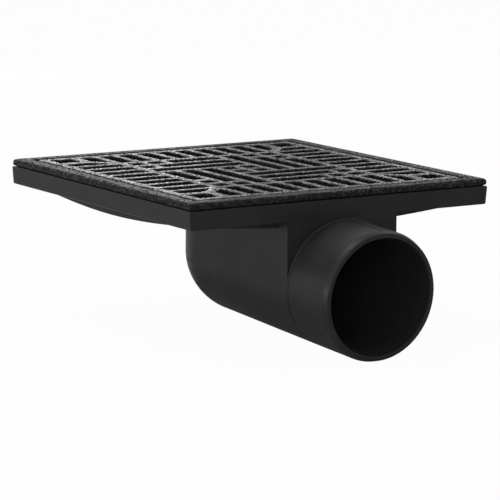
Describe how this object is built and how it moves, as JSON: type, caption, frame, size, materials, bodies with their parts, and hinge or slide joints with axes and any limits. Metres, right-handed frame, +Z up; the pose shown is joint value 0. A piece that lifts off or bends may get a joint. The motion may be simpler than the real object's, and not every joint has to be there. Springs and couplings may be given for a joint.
{
  "type": "floor gully",
  "caption": "Square floor gully: slotted cast-iron grate in a cast frame, moulded funnel body with a round sump and a side outlet spigot, and a removable bell trap.",
  "frame": {"origin": "centre of the frame's top plane, which is the finished floor level; the grate's top lies 0.2 mm below it", "axes": "+X out of the outlet spigot in plan, +Z up, +Y to the left of the outlet"},
  "size_m": [0.3589, 0.3, 0.1356],
  "materials": {
    "body_plastic": "smooth satin black moulding",
    "cast_iron": "black dip coat over a rough cast skin",
    "trap_plastic": "smooth dark grey moulding",
    "seal_rubber": "matt black rubber"
  },
  "bodies": {
    "root": {"gully_body": "body_plastic", "grate_frame": "cast_iron", "grate": "cast_iron", "trap_cup": "trap_plastic", "trap_bell": "trap_plastic", "trap_seal": "seal_rubber"}
  },
  "joints": []
}
